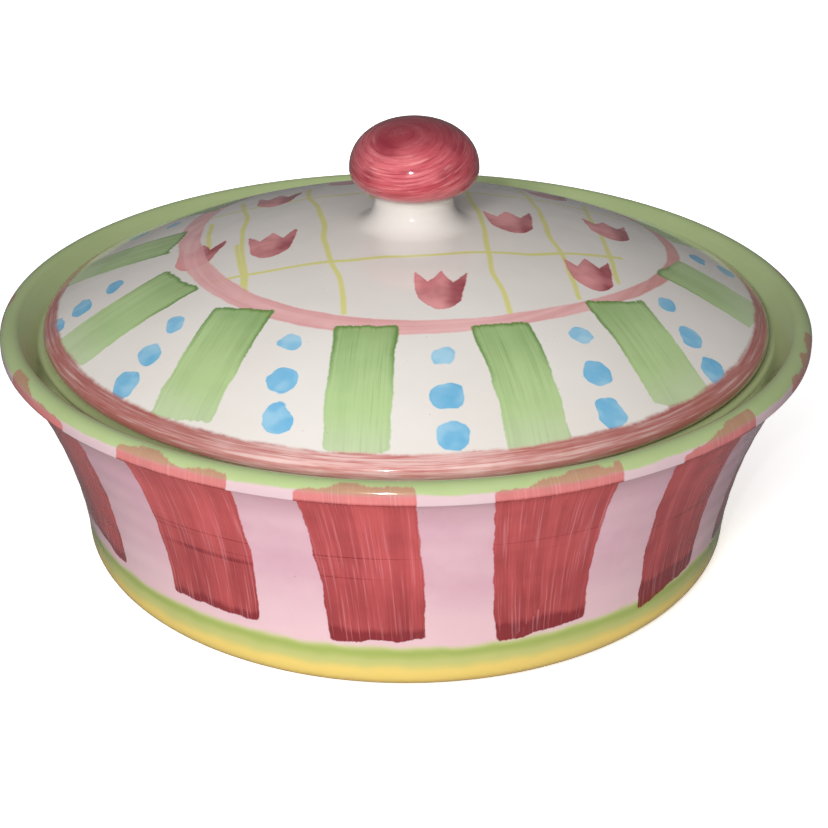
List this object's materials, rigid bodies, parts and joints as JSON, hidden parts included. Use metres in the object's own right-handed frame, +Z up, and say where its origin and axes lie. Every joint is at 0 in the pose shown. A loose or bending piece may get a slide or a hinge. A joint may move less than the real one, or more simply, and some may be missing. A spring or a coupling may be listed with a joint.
{
  "type": "covered casserole",
  "caption": "Round glazed earthenware casserole: flared dish with a gallery inside its rim, low domed lid with a round knob, hand-painted stripes, dots and tulips.",
  "frame": {"origin": "centre of the foot ring, on the surface the dish stands on", "axes": "+Z up along the axis of the dish and lid; X and Y are free, since every piece is turned about Z"},
  "size_m": [0.3, 0.3, 0.1622],
  "materials": {
    "dish_glaze": "gloss",
    "lid_glaze": "gloss",
    "knob_glaze": "gloss"
  },
  "bodies": {
    "dish": {"dish": "dish_glaze"},
    "lid": {"lid": "lid_glaze", "knob": "knob_glaze"}
  },
  "joints": [
    {"name": "lid_lift", "type": "slide", "parent": "dish", "child": "lid", "axis": [0, 0, 1], "range_m": [0, 0.12]}
  ]
}
